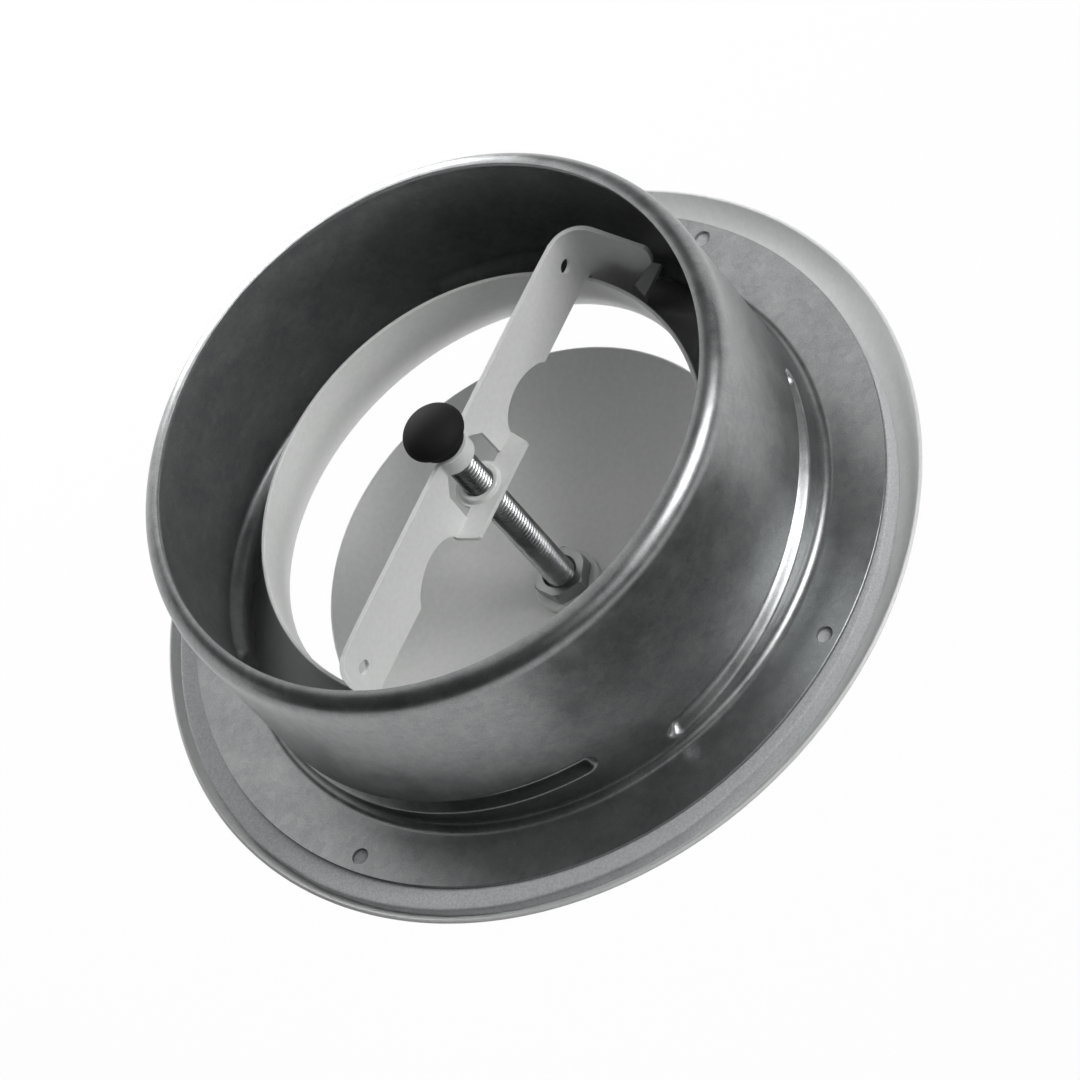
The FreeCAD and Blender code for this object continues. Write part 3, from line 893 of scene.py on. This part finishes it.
def makeNut():
    # a hexagon whose radius is limited near both faces, row by row, by the cones of the chamfers
    half = nut["flats"] / 2
    faceRadius = half / math.cos(math.radians(30)) - nut["chamfer"]
    levels = []
    for row in range(nut["chamferRows"] + 1):
        share = row / nut["chamferRows"]
        limit = faceRadius + (nut["chamfer"] + nut["chamferPast"]) * share
        levels.append((nut["bottom"] + nut["chamferDrop"] * share, limit))
    levels += [(nut["top"] - (z - nut["bottom"]), limit) for z, limit in levels[::-1]]
    bore = [
        (nut["bore"] + nut["countersink"], nut["top"]), (nut["bore"], nut["top"] - nut["countersink"]),
        (nut["bore"], nut["bottom"])]
    vertices = []
    for segment in range(nut["segments"]):
        degrees = 360.0 * segment / nut["segments"]
        hexRadius = half / math.cos(math.radians((degrees % 60.0) - 30.0))
        profile = [(min(hexRadius, limit), z) for z, limit in levels] + bore
        for radius, height in profile:
            vertices.append(roundPoint(radius, math.radians(degrees + nut["turn"]), height))
    piece = gridPiece("nutHex", vertices, nut["segments"])
    cleanMesh(piece, nut["sharpAngle"])
    finishPiece(piece, zincSteel, "disc_set", "lock_nut")


makeNut()
print("boss and nut made")

# End cap, a domed mushroom head on a neck
cap = {
    "radius": topOf("end_cap", 0), "bottom": bottomOf("end_cap", 2), "top": topOf("end_cap", 2),
    "neck": 4.6, "neckHeight": 1.5, "neckEdge": 0.3, "neckFillet": 0.4, "filletEnd": 100.0,
    "underside": 1.3, "brim": 2.1, "brimRound": 0.7, "brimStart": -80.0, "bore": 3.02,
    "boreTop": topOf("spindle", 2) + 0.02, "domeRows": 16, "segments": 128, "sharpAngle": 40.0}


def makeCap():
    head = cap["bottom"] + cap["neckHeight"]
    under = head + cap["underside"]
    rise = cap["top"] - head - cap["brim"]
    neck, edge, fillet, brimRound = cap["neck"], cap["neckEdge"], cap["neckFillet"], cap["brimRound"]
    profile = [(0.0, cap["boreTop"]), (cap["bore"], cap["boreTop"]), (cap["bore"], cap["bottom"])]
    profile += [(neck - edge, cap["bottom"]), (neck, cap["bottom"] + edge), (neck, under - fillet)]
    profile += arcPoints((neck + fillet, under - fillet), fillet, 180, cap["filletEnd"], 3)
    profile += arcPoints((cap["radius"] - brimRound, head + cap["brim"]), brimRound, cap["brimStart"], 0, 6)
    for row in range(1, cap["domeRows"] + 1):
        turn = math.radians(90.0 * row / cap["domeRows"])
        profile.append((cap["radius"] * math.cos(turn), head + cap["brim"] + rise * math.sin(turn)))
    profile[-1] = (0.0, cap["top"])
    piece = turnedPiece("capHead", profile, cap["segments"], closed=False)
    cleanMesh(piece, cap["sharpAngle"])
    finishPiece(piece, blackCap, "screw_end", "end_cap")


makeCap()
print("end cap made")

# Floor, pale and plain, some way below, because the valve hangs in its mount
stage = {"floorDrop": 0.32, "floorSize": 12.0, "floorColour": "#F2F2F2", "camera": 0.93, "glossy": 0.7}


def levelPlane(name, paperName, size, place):
    # a level square with an empty material
    bpy.ops.mesh.primitive_plane_add(size=size, location=place)
    plane = bpy.context.object
    plane.name = name
    material = bpy.data.materials.new(paperName)
    plane.data.materials.append(material)
    return plane, emptyTree(material)


def makeFloor():
    # glows by one share where the camera sees it and by the other in reflections, and is plain paper else
    floor, tree = levelPlane("paleFloor", "palePaperFloor", stage["floorSize"], (0, 0, -stage["floorDrop"]))
    paper = addNode(tree, "ShaderNodeBsdfDiffuse", {"Color": toLinear(stage["floorColour"])})
    glow = addNode(tree, "ShaderNodeEmission", {"Color": (1, 1, 1, 1), "Strength": 1.0})
    rays = addNode(tree, "ShaderNodeLightPath")
    seen = addNode(tree, "ShaderNodeMath", {
        0: rays.outputs["Is Camera Ray"], 1: stage["camera"]}, operation="MULTIPLY")
    share = addNode(tree, "ShaderNodeMath", {
        0: rays.outputs["Is Glossy Ray"], 1: stage["glossy"], 2: seen.outputs[0]}, operation="MULTIPLY_ADD")
    mix = addNode(tree, "ShaderNodeMixShader", {
        "Fac": share.outputs[0], 1: paper.outputs["BSDF"], 2: glow.outputs["Emission"]})
    addNode(tree, "ShaderNodeOutputMaterial", {"Surface": mix.outputs["Shader"]})


makeFloor()

# Black card in front of the object, out of the picture and seen only in reflections: it makes the dark patch
# in the collar's wall
card = {"centre": (-0.06, -0.44), "size": 0.58, "lift": 0.002, "colour": "#161616"}


def makeCard():
    place = (*card["centre"], card["lift"] - stage["floorDrop"])
    sheet, tree = levelPlane("blackCard", "blackPaperCard", card["size"], place)
    paper = addNode(tree, "ShaderNodeBsdfDiffuse", {"Color": toLinear(card["colour"])})
    addNode(tree, "ShaderNodeOutputMaterial", {"Surface": paper.outputs["BSDF"]})
    sheet.visible_camera = False
    sheet.visible_diffuse = False
    sheet.visible_shadow = False


makeCard()

# World: white where the camera sees it, a dim grey room for light and reflections
room = {"low": "#8A8A8A", "high": "#D8D8D8", "highAt": 0.9, "strength": 0.02}


def makeWorld():
    world = bpy.data.worlds.new("softRoom")
    bpy.context.scene.world = world
    tree = emptyTree(world)
    place = addNode(tree, "ShaderNodeTexCoord")
    split = addNode(tree, "ShaderNodeSeparateXYZ", {"Vector": place.outputs["Generated"]})
    tone = addNode(tree, "ShaderNodeValToRGB", {"Fac": split.outputs["Z"]})
    colour = setRamp(tone, [(0.0, room["low"]), (room["highAt"], room["high"])])
    soft = addNode(tree, "ShaderNodeBackground", {"Color": colour, "Strength": room["strength"]})
    white = addNode(tree, "ShaderNodeBackground", {"Color": (1, 1, 1, 1), "Strength": 1.0})
    rays = addNode(tree, "ShaderNodeLightPath")
    mix = addNode(tree, "ShaderNodeMixShader", {
        "Fac": rays.outputs["Is Camera Ray"], 1: soft.outputs["Background"], 2: white.outputs["Background"]})
    addNode(tree, "ShaderNodeOutputWorld", {"Surface": mix.outputs["Shader"]})


makeWorld()


def wayTo(azimuth, elevation):
    # the way out from the object at two angles in degrees
    turn = math.radians(azimuth)
    lift = math.radians(elevation)
    return Vector((math.cos(turn) * math.cos(lift), math.sin(turn) * math.cos(lift), math.sin(lift)))


# Soft boxes, placed by the way they stand from the object, in degrees and metres
softBoxes = {
    "backStrip": {"azimuth": 60, "elevation": 8, "distance": 1.3, "size": 0.62, "power": 16.5},
    "rightBox": {"azimuth": -60, "elevation": 36, "distance": 1.3, "size": 0.62, "power": 11.2},
    "leftStrip": {"azimuth": 120, "elevation": 8, "distance": 1.3, "size": 0.62, "power": 0.9},
    "farStrip": {"azimuth": 90, "elevation": 8, "distance": 1.3, "size": 0.62, "power": 0.8},
    "sideStrip": {"azimuth": 0, "elevation": 8, "distance": 1.3, "size": 0.62, "power": 0.8},
    "topBox": {"azimuth": 0, "elevation": 90, "distance": 1.3, "size": 0.62, "power": 0.8},
    "highBox": {"azimuth": 64, "elevation": 54, "distance": 1.3, "size": 1.05, "power": 3.0},
    "frontBox": {"azimuth": -100, "elevation": 36, "distance": 1.3, "size": 0.62, "power": 1.2},
}


def makeLamps():
    for name, box in softBoxes.items():
        light = bpy.data.lights.new(name, "AREA")
        light.shape = "SQUARE"
        light.size = box["size"]
        light.energy = box["power"]
        lamp = bpy.data.objects.new(name, light)
        bpy.context.scene.collection.objects.link(lamp)
        lamp.location = wayTo(box["azimuth"], box["elevation"]) * box["distance"]
        lamp.rotation_euler = (-lamp.location).to_track_quat("-Z", "Y").to_euler()


makeLamps()

# Camera, at the photo's angle, rolled, with the axis leaning to the upper left; the aim is in millimetres
view = {
    "azimuth": -117.21, "elevation": 49.70, "distance": 1.33867, "roll": -42.12, "lens": 233.33,
    "sensor": 36, "aim": (1.01, -0.90, -0.22)}


def makeCamera():
    camera = bpy.data.objects.new("photoCamera", bpy.data.cameras.new("photoCamera"))
    bpy.context.scene.collection.objects.link(camera)
    camera.data.sensor_width = view["sensor"]
    camera.data.lens = view["lens"]
    away = wayTo(view["azimuth"], view["elevation"])
    camera.location = Vector(view["aim"]) * mm + away * view["distance"]
    turn = (-away).to_track_quat("-Z", "Y")
    camera.rotation_mode = "QUATERNION"
    camera.rotation_quaternion = turn @ Quaternion((0, 0, 1), math.radians(view["roll"]))
    bpy.context.scene.camera = camera


makeCamera()
bpy.context.scene.view_settings.view_transform = "Standard"
print("stage, lamps and camera made")
